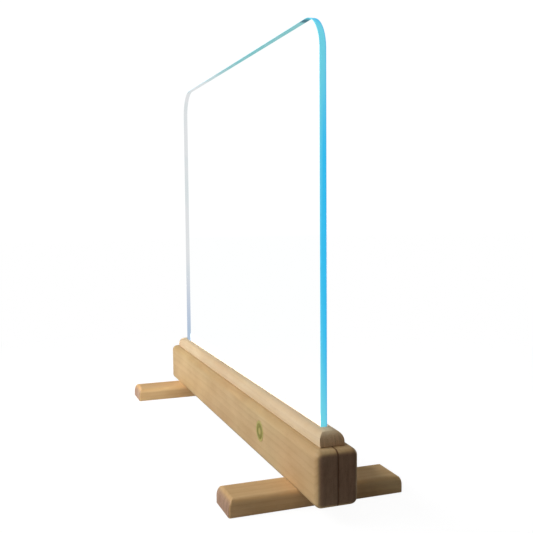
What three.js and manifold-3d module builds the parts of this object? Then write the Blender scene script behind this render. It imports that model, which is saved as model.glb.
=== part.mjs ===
// Counter-top sneeze guard: a clear acrylic panel that stands in a slotted wooden beam on two cross feet.
//
// Millimetres. +X runs along the beam, -Y faces the customer's side and +Z is up. The origin is on the
// counter, under the middle of the beam. The beam is two boards glued face to face, with a closed-ended
// groove between them. A moulded cap with a matching slot lies on top, and each foot has a shallow seat
// across it, hollowed to the beam's rounded underside, that the beam drops into, held by two screws.

import * as THREE from "three";
import { RoundedBoxGeometry } from "three/addons/geometries/RoundedBoxGeometry.js";
import { mergeVertices } from "three/addons/utils/BufferGeometryUtils.js";
import Module from "manifold-3d";

// ---------------------------------------------------------------- driving dimensions

const fit_gap = 0.3; // glue line or light contact between two pieces

const beam_length = 520;
const beam_height = 47.5;
const board_thickness = 19;
const beam_edge_round = 6.35;

const cap_width = 22;
const cap_height = 12.2;
const cap_edge_round = 8;
const cap_end_round = 9; // along the top, towards the middle
const cap_end_rise = 11.7; // down the end, from the top
const cap_corner_round = 0.6;
const cap_end_setback = 11; // from the beam's end to the cap's end

const panel_height = 380;
const panel_thickness = 6;
const panel_corner_radius = 30;
const panel_end_inset = 17; // from the cap's end to the panel's edge
const groove_depth = 27; // below the top of the beam
const slot_side_gap = 0.3; // on each face of the panel
const slot_end_gap = 0.7; // at each end of the panel

const foot_length = 162;
const foot_width = 38;
const foot_height = 15.5;
const foot_edge_round = 5;
const foot_end_round = 6; // along the top, towards the middle
const foot_end_rise = 9; // down the end, from the top
const foot_corner_round = 2;
const foot_inset = 57; // from the beam's end to the middle of the foot
const seat_depth = 4; // how far the beam is let into the foot

const pad_diameter = 14;
const pad_thickness = 2;
const pad_proud = 0.5;
const pad_chamfer = 0.3;
const pad_end_inset = 15; // from the foot's end to the middle of the pad

const screw_shank_diameter = 4.5;
const screw_head_diameter = 9;
const screw_head_rim = 0.4; // the short straight edge of the head
const screw_sink = 0.6; // of the head, below the foot's underside
const screw_bite = 22; // into the board, above the seat
const screw_tip = 4;
const screw_drive_width = 4.6;
const screw_drive_slot = 1;
const screw_drive_depth = 1.4;

const board_dowel_diameter = 8;
const board_dowel_depth = 13; // into each board
const board_dowel_end_inset = 25; // from the beam's end to the outer dowels
const board_dowel_inner_x = 80; // from the middle of the beam to the inner dowels

const cap_dowel_diameter = 4;
const cap_dowel_depth = 6; // up into the cap
const cap_dowel_board_depth = 10; // down into the board
const cap_dowel_pitch = 150;
const dowel_chamfer = 0.6;

const disc_diameter = 20;
const disc_thickness = 0.8;
const disc_proud = 0.2;
const disc_end_inset = 137; // from the beam's right end to the middle of the disc
const disc_above_beam_bottom = 27.5;

const edge_steps = 4; // facets in a quarter round of a wooden edge
const corner_steps = 12; // facets in the panel's corner
const round_sides = 20; // sides of a dowel, pad or screw
const disc_sides = 40;
const overrun = 1; // how far a cut runs past the face that it opens

// ---------------------------------------------------------------- places that follow from them

const foot_bottom = pad_proud;
const beam_bottom = foot_bottom + foot_height - seat_depth;
const beam_width = 2 * board_thickness + fit_gap;
const board_middle = (board_thickness + fit_gap) / 2; // from the seam to the middle of a board
const foot_x = beam_length / 2 - foot_inset;
const groove_floor = beam_height - groove_depth; // above the beam's underside

const cap_length = beam_length - 2 * cap_end_setback;
const panel_width = cap_length - 2 * panel_end_inset;
const slot_width = panel_thickness + 2 * slot_side_gap;
const slot_length = panel_width + 2 * slot_end_gap;
const cap_dowel_y = (slot_width + cap_width) / 4; // the middle of the cap's wall beside the slot

const board_dowel_outer_x = beam_length / 2 - board_dowel_end_inset;
const disc_x = beam_length / 2 - disc_end_inset;

const SIDES = [
  { name: "front", sign: -1 },
  { name: "rear", sign: 1 },
];
const ENDS = [
  { name: "left", sign: -1 },
  { name: "right", sign: 1 },
];
const BOARD_DOWELS = [
  { name: "left_outer", x: -board_dowel_outer_x },
  { name: "left_inner", x: -board_dowel_inner_x },
  { name: "right_inner", x: board_dowel_inner_x },
  { name: "right_outer", x: board_dowel_outer_x },
];
const CAP_DOWELS = [
  { name: "left", x: -cap_dowel_pitch },
  { name: "middle", x: 0 },
  { name: "right", x: cap_dowel_pitch },
];

// ---------------------------------------------------------------- finishes

const FINISHES = {
  beam_wood: { color: 0xcda982, roughness: 0.55, metalness: 0 },
  cap_wood: { color: 0xd7b98c, roughness: 0.5, metalness: 0 },
  foot_wood: { color: 0xc8a06a, roughness: 0.55, metalness: 0 },
  dowel_wood: { color: 0xe0c79c, roughness: 0.7, metalness: 0 },
  clear_acrylic: { color: 0xbfeaf2, roughness: 0.05, metalness: 0, transparent: true, opacity: 0.35 },
  screw_steel: { color: 0xb8b9bb, roughness: 0.35, metalness: 1 },
  pad_rubber: { color: 0x2c2c2c, roughness: 0.9, metalness: 0 },
  olive_print: { color: 0x88843c, roughness: 0.6, metalness: 0 },
};

// ---------------------------------------------------------------- joining and cutting

const wasm = await Module();
wasm.setup();

function toSolid(geometry) {
  const bare = new THREE.BufferGeometry();
  bare.setAttribute("position", geometry.getAttribute("position"));
  bare.setIndex(geometry.getIndex());
  const merged = mergeVertices(bare);
  return new wasm.Manifold(
    new wasm.Mesh({
      numProp: 3,
      vertProperties: merged.attributes.position.array,
      triVerts: new Uint32Array(merged.index.array),
    }),
  );
}

function toGeometry(solid) {
  const mesh = solid.getMesh();
  const geometry = new THREE.BufferGeometry();
  geometry.setAttribute("position", new THREE.BufferAttribute(mesh.vertProperties, 3));
  geometry.setIndex(new THREE.BufferAttribute(mesh.triVerts, 1));
  geometry.computeVertexNormals();
  return geometry;
}

function cutAway(solid, cutters) {
  return cutters.reduce((left, cutter) => left.subtract(toSolid(cutter)), solid);
}

// ---------------------------------------------------------------- basic shapes

// A box of the given size, with the middle of its underside at (x, y, z).
function standingBox(length, width, height, x, y, z) {
  return new THREE.BoxGeometry(length, width, height).translate(x, y, z + height / 2);
}

// A solid turned about +Z from a profile of [radius, height] points that starts and ends on the axis.
function turned(profile, sides = round_sides) {
  const points = profile.map(([radius, height]) => new THREE.Vector2(radius, height));
  return new THREE.LatheGeometry(points, sides).rotateX(Math.PI / 2);
}

function turnedPin(radius, length, chamfer, sides = round_sides) {
  return turned(
    [
      [0, 0],
      [radius - chamfer, 0],
      [radius, chamfer],
      [radius, length - chamfer],
      [radius - chamfer, length],
      [0, length],
    ],
    sides,
  );
}

function plainPin(radius, length, sides = round_sides) {
  return turned(
    [
      [0, 0],
      [radius, 0],
      [radius, length],
      [0, length],
    ],
    sides,
  );
}

// An outline with a flat base, square lower corners and rounded upper corners. Each round takes
// its radius off the top and its rise off the side.
function domedOutline(width, height, radius, rise = radius) {
  const outline = new THREE.Shape();
  outline.moveTo(-width / 2, 0);
  outline.lineTo(width / 2, 0);
  outline.lineTo(width / 2, height - rise);
  outline.absellipse(width / 2 - radius, height - rise, radius, rise, 0, Math.PI / 2);
  outline.lineTo(radius - width / 2, height);
  outline.absellipse(radius - width / 2, height - rise, radius, rise, Math.PI / 2, Math.PI);
  return outline;
}

function roundedRectangle(length, width, radius) {
  const outline = new THREE.Shape();
  outline.absarc(length / 2 - radius, width / 2 - radius, radius, 0, Math.PI / 2);
  outline.absarc(radius - length / 2, width / 2 - radius, radius, Math.PI / 2, Math.PI);
  outline.absarc(radius - length / 2, radius - width / 2, radius, Math.PI, 1.5 * Math.PI);
  outline.absarc(length / 2 - radius, radius - width / 2, radius, 1.5 * Math.PI, 2 * Math.PI);
  return outline;
}

// Extrusions centred on the origin. The outline's up direction becomes +Z in the first two.
function extrudedAcross(outline, width, steps) {
  return new THREE.ExtrudeGeometry(outline, { depth: width, bevelEnabled: false, curveSegments: steps })
    .translate(0, 0, -width / 2)
    .rotateX(Math.PI / 2);
}

function extrudedAlong(outline, length, steps) {
  return extrudedAcross(outline, length, steps).rotateZ(Math.PI / 2);
}

function extrudedUp(outline, height, steps) {
  return new THREE.ExtrudeGeometry(outline, { depth: height, bevelEnabled: false, curveSegments: steps });
}

// A block along X that stands on the origin, with rounded long edges, domed ends and rounded upright
// corners. The long edges and the domes meet at a mitre over each corner.
function domedBlock(length, width, height, edge_round, end_round, end_rise, corner_round) {
  const across = domedOutline(width, height, edge_round);
  const along = domedOutline(length, height, end_round, end_rise);
  const plan = roundedRectangle(length, width, corner_round);
  return toSolid(extrudedAlong(across, length, edge_steps))
    .intersect(toSolid(extrudedAcross(along, width, edge_steps)))
    .intersect(toSolid(extrudedUp(plan, height, edge_steps)));
}

// ---------------------------------------------------------------- the scene's meshes

function piece(name, geometry, finish) {
  const mesh = new THREE.Mesh(geometry, new THREE.MeshStandardMaterial(FINISHES[finish]));
  mesh.name = name;
  return mesh;
}

function placed(object, x, y, z) {
  object.position.set(x, y, z);
  return object;
}

// ---------------------------------------------------------------- clear panel

function clearPanel() {
  const outline = domedOutline(panel_width, panel_height, panel_corner_radius);
  return piece("clear_panel", extrudedAcross(outline, panel_thickness, corner_steps), "clear_acrylic");
}

// ---------------------------------------------------------------- beam boards and their dowels

// The groove for the panel, from its floor up through the top of the beam.
function panelGroove() {
  return standingBox(slot_length, slot_width, groove_depth + overrun, 0, 0, groove_floor);
}

function boardDowelHoles() {
  const radius = board_dowel_diameter / 2 + fit_gap;
  const length = 2 * (board_dowel_depth + fit_gap) + fit_gap;
  return BOARD_DOWELS.map(({ x }) =>
    plainPin(radius, length)
      .rotateX(Math.PI / 2)
      .translate(x, length / 2, groove_floor / 2),
  );
}

function capDowelHoles(bottom, depth) {
  const radius = cap_dowel_diameter / 2 + fit_gap;
  return SIDES.flatMap(({ sign }) =>
    CAP_DOWELS.map(({ x }) => plainPin(radius, depth).translate(x, sign * cap_dowel_y, bottom)),
  );
}

// The threaded ends of the foot screws, seen from the beam's underside.
function screwPilotHoles() {
  const radius = screw_shank_diameter / 2 + fit_gap;
  const length = screw_bite + fit_gap + overrun;
  return SIDES.flatMap(({ sign }) =>
    ENDS.map((end) =>
      plainPin(radius, length).translate(end.sign * foot_x, sign * board_middle, -overrun),
    ),
  );
}

function discRecess() {
  const depth = disc_thickness - disc_proud + fit_gap;
  return plainPin(disc_diameter / 2 + fit_gap, depth + overrun, disc_sides)
    .rotateX(Math.PI / 2)
    .translate(disc_x, depth - beam_width / 2, disc_above_beam_bottom);
}

// One of the two boards, in the beam's frame, whose origin is in the middle of its underside.
function beamBoard({ name, sign }) {
  const beam = toSolid(
    new RoundedBoxGeometry(beam_length, beam_width, beam_height, edge_steps, beam_edge_round).translate(
      0,
      0,
      beam_height / 2,
    ),
  );
  const half = toSolid(standingBox(beam_length, board_thickness, beam_height, 0, sign * board_middle, 0));
  const cap_holes_bottom = beam_height - cap_dowel_board_depth - fit_gap;
  const cutters = [
    panelGroove(),
    ...boardDowelHoles(),
    ...capDowelHoles(cap_holes_bottom, beam_height - cap_holes_bottom + overrun),
    ...screwPilotHoles(),
  ];
  if (sign < 0) cutters.push(discRecess());
  return piece(name + "_board", toGeometry(cutAway(beam.intersect(half), cutters)), "beam_wood");
}

function boardDowel({ name, x }) {
  const length = 2 * board_dowel_depth + fit_gap;
  const geometry = turnedPin(board_dowel_diameter / 2, length, dowel_chamfer).rotateX(Math.PI / 2);
  return placed(piece("board_dowel_" + name, geometry, "dowel_wood"), x, length / 2, groove_floor / 2);
}

// A plain disc whose outer edge is bevelled as far as it stands proud of the board.
function faceDisc() {
  const radius = disc_diameter / 2;
  const geometry = turned(
    [
      [0, 0],
      [radius, 0],
      [radius, disc_thickness - disc_proud],
      [radius - disc_proud, disc_thickness],
      [0, disc_thickness],
    ],
    disc_sides,
  ).rotateX(Math.PI / 2);
  const back = disc_thickness - disc_proud - beam_width / 2;
  return placed(piece("face_disc", geometry, "olive_print"), disc_x, back, disc_above_beam_bottom);
}

// ---------------------------------------------------------------- cap moulding and its dowels

// The cap's origin is in the middle of its underside. Its ends are domed for nearly their full height.
function capMoulding() {
  const block = domedBlock(
    cap_length,
    cap_width,
    cap_height,
    cap_edge_round,
    cap_end_round,
    cap_end_rise,
    cap_corner_round,
  );
  const slot = standingBox(slot_length, slot_width, cap_height + 2 * overrun, 0, 0, -overrun);
  const holes = capDowelHoles(-overrun, cap_dowel_depth + fit_gap + overrun);
  return piece("cap_moulding", toGeometry(cutAway(block, [slot, ...holes])), "cap_wood");
}

// Each dowel crosses the glue line between the cap and a board.
function capDowel(side, { name, x }) {
  const length = cap_dowel_depth + cap_dowel_board_depth;
  const geometry = turnedPin(cap_dowel_diameter / 2, length, dowel_chamfer);
  const mesh = piece("cap_dowel_" + side.name + "_" + name, geometry, "dowel_wood");
  return placed(mesh, x, side.sign * cap_dowel_y, beam_height - cap_dowel_board_depth);
}

// ---------------------------------------------------------------- feet, screws and pads

// A countersunk screw standing on its head or, grown by a clearance, the hole that it needs.
function screwProfile(growth, start) {
  const head_radius = screw_head_diameter / 2 + growth;
  const shank_radius = screw_shank_diameter / 2 + growth;
  const cone_bottom = screw_head_rim + growth;
  const tip_height = foot_height - seat_depth - screw_sink + screw_bite;
  return [
    [0, start],
    [head_radius, start],
    [head_radius, cone_bottom],
    [shank_radius, cone_bottom + head_radius - shank_radius],
    [shank_radius, tip_height - screw_tip],
    [0, tip_height + growth],
  ];
}

function footScrew(name) {
  const body = toSolid(turned(screwProfile(0, 0)));
  const slot_height = screw_drive_depth + overrun;
  const slots = [0, Math.PI / 2].map((angle) =>
    standingBox(screw_drive_width, screw_drive_slot, slot_height, 0, 0, -overrun).rotateZ(angle),
  );
  return piece(name, toGeometry(cutAway(body, slots)), "screw_steel");
}

function footPad(name) {
  return piece(name, turnedPin(pad_diameter / 2, pad_thickness, pad_chamfer), "pad_rubber");
}

// The bed that the beam drops into: the beam's own rounded underside, grown by the fit gap.
function beamSeat() {
  const underside = domedOutline(beam_width + 2 * fit_gap, beam_height, beam_edge_round + fit_gap);
  return extrudedAlong(underside, foot_width + 2 * overrun, edge_steps)
    .rotateX(Math.PI)
    .translate(0, 0, foot_height - seat_depth - fit_gap + beam_height);
}

// The foot's origin is in the middle of its underside, and it runs along Y.
function crossFoot(name, screw_places, pad_places) {
  const block = domedBlock(
    foot_length,
    foot_width,
    foot_height,
    foot_edge_round,
    foot_end_round,
    foot_end_rise,
    foot_corner_round,
  ).rotate([0, 0, 90]);
  const pad_recess_depth = pad_thickness - pad_proud + fit_gap;
  const cutters = [
    beamSeat(),
    ...screw_places.map((y) =>
      turned(screwProfile(fit_gap, -screw_sink - overrun)).translate(0, y, screw_sink),
    ),
    ...pad_places.map((y) =>
      plainPin(pad_diameter / 2 + fit_gap, pad_recess_depth + overrun).translate(0, y, -overrun),
    ),
  ];
  return piece(name, toGeometry(cutAway(block, cutters)), "foot_wood");
}

function footAssembly(end) {
  const foot = new THREE.Group();
  const pad_y = foot_length / 2 - pad_end_inset;
  foot.add(
    crossFoot(
      end.name + "_foot",
      SIDES.map(({ sign }) => sign * board_middle),
      SIDES.map(({ sign }) => sign * pad_y),
    ),
  );
  for (const side of SIDES) {
    const screw = footScrew(end.name + "_foot_screw_" + side.name);
    foot.add(placed(screw, 0, side.sign * board_middle, screw_sink));
    const pad = footPad(end.name + "_pad_" + side.name);
    foot.add(placed(pad, 0, side.sign * pad_y, -pad_proud));
  }
  return foot;
}

// ---------------------------------------------------------------- assembly

function beamAssembly() {
  const beam = new THREE.Group();
  beam.add(...SIDES.map(beamBoard));
  beam.add(...BOARD_DOWELS.map(boardDowel));
  beam.add(faceDisc());
  beam.add(placed(capMoulding(), 0, 0, beam_height + fit_gap));
  for (const side of SIDES) beam.add(...CAP_DOWELS.map((dowel) => capDowel(side, dowel)));
  return beam;
}

const sneeze_guard = new THREE.Group();
sneeze_guard.add(placed(beamAssembly(), 0, 0, beam_bottom));
for (const end of ENDS) sneeze_guard.add(placed(footAssembly(end), end.sign * foot_x, 0, foot_bottom));
sneeze_guard.add(placed(clearPanel(), 0, 0, beam_bottom + groove_floor + fit_gap));

export default sneeze_guard;
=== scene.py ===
import math

import bmesh
import bpy
from bpy.props import FloatProperty, FloatVectorProperty, IntProperty, PointerProperty
from mathutils import Matrix, Vector


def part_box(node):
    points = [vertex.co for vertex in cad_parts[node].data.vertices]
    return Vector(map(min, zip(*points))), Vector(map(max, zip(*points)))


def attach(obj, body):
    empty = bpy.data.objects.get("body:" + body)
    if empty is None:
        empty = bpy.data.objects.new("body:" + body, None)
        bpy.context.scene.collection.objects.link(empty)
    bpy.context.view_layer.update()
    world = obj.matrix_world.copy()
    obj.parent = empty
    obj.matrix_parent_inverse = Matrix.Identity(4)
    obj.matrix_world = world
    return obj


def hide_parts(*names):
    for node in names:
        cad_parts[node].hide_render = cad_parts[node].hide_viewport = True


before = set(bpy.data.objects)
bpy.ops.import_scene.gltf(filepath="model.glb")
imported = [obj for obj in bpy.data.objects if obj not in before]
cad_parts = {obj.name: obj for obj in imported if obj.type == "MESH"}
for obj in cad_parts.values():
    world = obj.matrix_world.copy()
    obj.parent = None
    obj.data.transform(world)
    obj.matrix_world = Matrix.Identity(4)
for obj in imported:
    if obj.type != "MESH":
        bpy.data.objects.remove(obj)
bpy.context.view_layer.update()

bl_info = {
    "name": "Counter sneeze guard",
    "version": (1, 0, 0),
    "blender": (4, 5, 0),
    "location": "View3D > Sidebar > Sneeze guard",
    "description": "Builds the finished looks of a clear panel standing in a wooden beam on two cross feet",
    "category": "Object",
}

MM = 0.001
FRONT, REAR = -1, 1  # the way along Y that each board faces
BOARDS = {"front_board": FRONT, "rear_board": REAR}
FEET = ("left_foot", "right_foot")
BOARD_DOWELS = [
    f"board_dowel_{place}" for place in ("left_outer", "left_inner", "right_inner", "right_outer")
]
CAP_DOWELS = [
    f"cap_dowel_{side}_{place}" for side in ("front", "rear") for place in ("left", "middle", "right")
]
SCREWS = [f"{foot}_screw_{side}" for foot in FEET for side in ("front", "rear")]
PADS = [f"{end}_pad_{side}" for end in ("left", "right") for side in ("front", "rear")]

# Middle, target, width and height of each lamp that keeps its place
REFLECTOR = ((0.2, -0.5, 0.3), (-0.25, -0.13, -0.02), 0.2, 0.2)
SIDE_LAMP = ((0.8, -0.75, 0.4), (0.2, 0, 0.05), 0.4, 0.4)
BACK_LAMP = ((-0.45, 1.0, 0.14), (0, 0, 0.05), 0.6, 0.2)
REFLECTOR_SPREAD = math.radians(30)
KEY_SIZE = (0.9, 0.35)
KEY_AIM = 0.04  # the height that the key lamp is turned to
SEEN_WHITE = 1.02  # brightness of the backdrop to the eye
FLOOR_REACH = 6.0


def shade(red, green, blue):
    """A colour picked on a screen, 0 to 255 a channel, as the linear light that shaders use."""
    parts = (red / 255, green / 255, blue / 255)
    return tuple(c / 12.92 if c <= 0.04045 else ((c + 0.055) / 1.055) ** 2.4 for c in parts)


def length_property(name, description, millimetres):
    settings = {"default": millimetres * MM, "subtype": "DISTANCE", "unit": "LENGTH"}
    return FloatProperty(name=name, description=description, **settings)


def angle_property(name, description, degrees):
    settings = {"default": math.radians(degrees), "subtype": "ANGLE"}
    return FloatProperty(name=name, description=description, **settings)


def power_property(name, description, watts):
    return FloatProperty(name=name, description=description, default=watts, unit="POWER")


def place_property(name, description, place):
    return FloatVectorProperty(name=name, description=description, default=place, subtype="TRANSLATION")


def tint_property(name, description, tint):
    settings = {"default": tint, "size": 3, "min": 0, "max": 1, "subtype": "COLOR"}
    return FloatVectorProperty(name=name, description=description, **settings)


def colour_property(name, description, *channels):
    return tint_property(name, description, shade(*channels))


# ------------------------------ what a user can change


class GuardShape(bpy.types.PropertyGroup):
    """Rounds, eases and clearances. Lengths, widths and places come from the frame."""

    round_steps: IntProperty(
        name="Steps in a round", description="Flats in each quarter round", default=12, min=3
    )
    beam_round: length_property("Beam round", "Round-over on every outer edge of the beam", 6.35)
    glue_line: length_property("Glue line", "Gap between the two boards that glue fills", 0.04)
    seam_ease: length_property("Seam ease", "Small round where the two boards meet", 0.5)
    cap_round: length_property("Cap round", "Round-over along the top edges of the cap", 8)
    cap_end_round: length_property("Cap end round", "Reach of the cap's domed ends along its top", 9)
    cap_end_rise: length_property("Cap end rise", "Reach of the cap's domed ends down from its top", 11.7)
    cap_ease: length_property("Cap ease", "Small round along the foot of the cap", 0.3)
    slot_flare: length_property("Slot flare", "Chamfer round the mouth of the slot in the cap", 0.35)
    foot_round: length_property("Foot round", "Round-over along the top edges of a foot", 5)
    foot_end_round: length_property("Foot end round", "Reach of a foot's rounded ends along its top", 6)
    foot_end_rise: length_property("Foot end rise", "Reach of a foot's rounded ends down from its top", 9)
    foot_corner: length_property("Foot corner", "Radius of a foot's upright corners", 2)
    foot_ease: length_property("Foot ease", "Small round along the underside of a foot", 0.5)
    panel_corner: length_property("Panel corner", "Radius of the panel's top corners", 30)
    panel_arris: length_property("Panel arris", "Polished round along the panel's edges", 0.35)
    clearance: length_property("Clearance", "Gap left round a piece that stands in a hole or a recess", 0.3)
    slot_end_gap: length_property("Slot end gap", "Gap at each end of the panel in its slot", 0.7)
    dowel_chamfer: length_property("Dowel chamfer", "Chamfer on the ends of the dowels", 0.6)
    flute_depth: length_property("Flute depth", "Depth of the glue flutes along the dowels", 0.25)
    screw_shank: length_property("Screw shank", "Diameter of the foot screws over the thread", 4.5)
    screw_pitch: length_property("Screw pitch", "Rise of the screw thread in one turn", 1.9)


class GuardFinish(bpy.types.PropertyGroup):
    """Colours of the woods, the painted glow of the panel's edges and the small fittings. The tints say how
    much darker a wood is where it is cut across the grain."""

    beam_pale: colour_property("Beam, pale", "Early wood of the boards", 221, 193, 144)
    beam_deep: colour_property("Beam, deep", "Late wood and streaks of the boards", 190, 154, 108)
    beam_end: tint_property("Beam ends", "Tint of the boards' end grain", (0.42, 0.37, 0.44))
    cap_pale: colour_property("Cap, pale", "Early wood of the cap", 238, 216, 180)
    cap_deep: colour_property("Cap, deep", "Late wood and streaks of the cap", 214, 183, 143)
    cap_end: tint_property("Cap ends", "Tint of the cap's end grain", (0.84, 0.74, 0.66))
    foot_pale: colour_property("Foot, pale", "Early wood of the feet", 228, 195, 144)
    foot_deep: colour_property("Foot, deep", "Late wood and streaks of the feet", 199, 157, 106)
    foot_end: tint_property("Foot ends", "Tint of the feet's end grain", (0.74, 0.72, 1.0))
    dowel_pale: colour_property("Dowel, pale", "Early wood of the dowels", 226, 202, 160)
    dowel_deep: colour_property("Dowel, deep", "Late wood of the dowels", 198, 164, 116)
    # The panel's edge colours below are a painted glow, given out as emission
    painted_glow_cyan: colour_property("Edge", "Light in the middle of an upright edge", 46, 184, 236)
    painted_glow_teal: colour_property("Edge, ends", "Light near the top and the foot of an edge", 108, 205, 224)
    painted_glow_blue: colour_property("Edge, arris", "Deeper blue along the arrises", 44, 160, 226)
    painted_inner_teal: colour_property("Inner edge", "An edge from within, at its deepest", 142, 212, 216)
    painted_inner_pale: colour_property("Inner edge, far", "An edge from within, at its palest", 243, 245, 247)
    painted_inner_blue: colour_property("Inner edge, low", "The same, near the foot of the panel", 196, 212, 236)
    # Painted dark glint, in the emitted colour, where the panel's top edge bends
    painted_bend_glint: colour_property("Inner bend", "Dark glint where the top edge bends", 48, 92, 116)
    print_olive: colour_property("Disc", "Printed ring on the face disc", 128, 121, 24)
    print_rim: colour_property("Disc ground", "Paler ground of the face disc", 190, 177, 102)
    steel: colour_property("Screw steel", "Zinc-plated steel of the foot screws", 196, 198, 202)
    rubber: colour_property("Pad rubber", "Rubber of the foot pads", 44, 43, 42)


class GuardStage(bpy.types.PropertyGroup):
    """Camera, lamps and floor."""

    camera_place: place_property("Camera", "Where the camera stands", (0.79278, -0.2519, 0.2532))
    camera_turn: angle_property("Turn", "Heading of the camera", 70.19)
    camera_dip: angle_property("Dip", "How far the camera looks down", 4.35)
    camera_roll: angle_property("Roll", "Tilt of the camera to one side", -0.49)
    camera_lens: FloatProperty(name="Lens", description="Focal length in millimetres", default=50.435)
    key_power: power_property("Key power", "Power of the wide soft lamp in front", 7.2)
    key_place: place_property("Key", "Middle of the wide soft lamp", (-0.16, -0.72, 0.58))
    reflector_power: power_property("Reflector", "Power of the small lamp turned to the far end", 0.11)
    side_power: power_property("Side lamp", "Power of the weak lamp off the near end", 1.0)
    back_power: power_property("Back lamp", "Power of the low lamp behind", 2.5)
    fill: FloatProperty(
        name="Fill", description="Light that falls from straight above", default=0.22, min=0
    )
    fill_level: FloatProperty(
        name="Level fill", description="Share of the fill that comes in level", default=0.06, min=0
    )
    floor_depth: FloatProperty(
        name="Shadow depth", description="How much of the floor's white its shadows take", default=0.05
    )
    floor_bounce: FloatProperty(
        name="Floor bounce", description="How much light the floor throws back", default=0.50
    )


# ------------------------------ shapes


def inset_at(depth, radius, rise=None):
    """How far a rounded edge has drawn in at this depth below the face that it runs out on. The round
    reaches a radius into the face, and as far down or by a rise of its own."""
    share = min(max(1 - depth / (rise or radius), 0), 1) if radius else 0
    return radius * (1 - math.sqrt(1 - share**2))


def round_levels(radius, steps):
    """Depths at which a quarter round changes direction, from its face down."""
    return [radius * (1 - math.sin(k / steps * math.pi / 2)) for k in range(steps, -1, -1)]


def corner_outline(low, high, radii, steps):
    """A rectangle as a loop of points, with a radius of its own at each corner.
    The corners run from low x, low y round to low x, high y."""
    (west, south), (east, north) = low[:2], high[:2]
    corners = [(west, south, 1, 1), (east, south, -1, 1), (east, north, -1, -1), (west, north, 1, -1)]
    points = []
    for turn, ((x, y, inward_x, inward_y), radius) in enumerate(zip(corners, radii)):
        for k in range(steps + 1):
            angle = math.pi + (turn + k / steps) * math.pi / 2
            reach_x, reach_y = inward_x + math.cos(angle), inward_y + math.sin(angle)
            points.append((x + radius * reach_x, y + radius * reach_y))
    return points


def square_outline(low, high, margin=0.0):
    """The same with square corners, a margin larger all round."""
    near, far = (low[0] - margin, low[1] - margin), (high[0] + margin, high[1] + margin)
    return corner_outline(near, far, (0,) * 4, 1)


def loft(rings):
    """A closed mesh through rings of points that all have the same number of points."""
    made = bmesh.new()
    loops = [[made.verts.new(point) for point in ring] for ring in rings]
    for lower, upper in zip(loops, loops[1:]):
        for k in range(len(lower)):
            following = (k + 1) % len(lower)
            made.faces.new((lower[k], lower[following], upper[following], upper[k]))
    made.faces.new(reversed(loops[0]))
    made.faces.new(loops[-1])
    bmesh.ops.remove_doubles(made, verts=made.verts, dist=1e-7)
    bmesh.ops.recalc_face_normals(made, faces=made.faces)
    mesh = bpy.data.meshes.new("loft")
    made.to_mesh(mesh)
    made.free()
    return mesh


def eased_block(low, high, top, bottom, corners, steps, rises=None):
    """A block in level rings. top and bottom give the round on each side's upper and lower edge, in the
    order low x, high x, low y, high y, and corners the radius of each upright corner. rises is how far
    down each upper round reaches, where that isn't its radius."""
    least_share = 0.1  # of a corner's radius, which keeps the corner smooth where the block closes over it
    rises = rises or top
    depths = {0.0}
    for rise in rises:
        depths.update(round_levels(rise, steps))
    heights = {round(high[2] - depth, 7) for depth in depths}
    heights.add(round(low[2], 7))
    for radius in bottom:
        heights.update(round(low[2] + depth, 7) for depth in round_levels(radius, steps))
    rings = []
    for z in sorted(heights):
        west, east, south, north = (
            max(inset_at(high[2] - z, upper, rise), inset_at(z - low[2], lower))
            for upper, rise, lower in zip(top, rises, bottom)
        )
        beside = ((west, south), (east, south), (east, north), (west, north))
        radii = [max(radius - min(insets), least_share * radius) for radius, insets in zip(corners, beside)]
        near, far = (low[0] + west, low[1] + south), (high[0] - east, high[1] - north)
        rings.append([(x, y, z) for x, y in corner_outline(near, far, radii, steps)])
    return loft(rings)


def turned(profile, sides):
    """A solid turned about Z from (radius, height) points, from the underside up."""
    around = [k / sides * 2 * math.pi for k in range(sides)]
    return loft([[(r * math.cos(a), r * math.sin(a), z) for a in around] for r, z in profile])


def box_solid(low, high):
    return loft([[(x, y, z) for x, y in square_outline(low, high)] for z in (low[2], high[2])])


def pin_solid(radius, length, place, axis="Z", sides=40):
    """A plain round pin that starts at a place and runs along an axis."""
    mesh = turned([(radius, 0), (radius, length)], sides)
    if axis == "Y":
        mesh.transform(Matrix.Rotation(-math.pi / 2, 4, "X"))
    mesh.transform(Matrix.Translation(place))
    return mesh


def joined(meshes):
    """Several separate solids as one mesh."""
    made = bmesh.new()
    for mesh in meshes:
        made.from_mesh(mesh)
        bpy.data.meshes.remove(mesh)
    mesh = bpy.data.meshes.new("joined")
    made.to_mesh(mesh)
    made.free()
    return mesh


def cut_away(solid, cutters):
    """A solid less its cutters, which don't overlap each other."""
    piece = bpy.data.objects.new("solid", solid)
    cutter = bpy.data.objects.new("cutter", joined(cutters))
    for helper in (piece, cutter):
        bpy.context.scene.collection.objects.link(helper)
    cut = piece.modifiers.new("Cut", "BOOLEAN")
    cut.operation, cut.solver, cut.object = "DIFFERENCE", "EXACT", cutter
    result = bpy.data.meshes.new_from_object(piece.evaluated_get(bpy.context.evaluated_depsgraph_get()))
    cutter_mesh = cutter.data
    for helper in (piece, cutter):
        bpy.data.objects.remove(helper)
    for mesh in (solid, cutter_mesh):
        bpy.data.meshes.remove(mesh)
    return result


def box_middle(node):
    low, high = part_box(node)
    return (low + high) / 2


def on_side(nodes, side):
    return [node for node in nodes if (box_middle(node).y > 0) == (side > 0)]


def stand_at(node, mesh):
    """Moves a mesh that stands on the origin to the middle of the node's underside."""
    middle = box_middle(node)
    mesh.transform(Matrix.Translation((middle.x, middle.y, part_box(node)[0].z)))


def soft_shoulder(radius, height, soft):
    """Profile points round the upper edge of a turned solid, from its side to its top."""
    curve = [k / 5 * math.pi / 2 for k in range(6)]
    return [(radius - soft + soft * math.cos(a), height - soft + soft * math.sin(a)) for a in curve]


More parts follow.
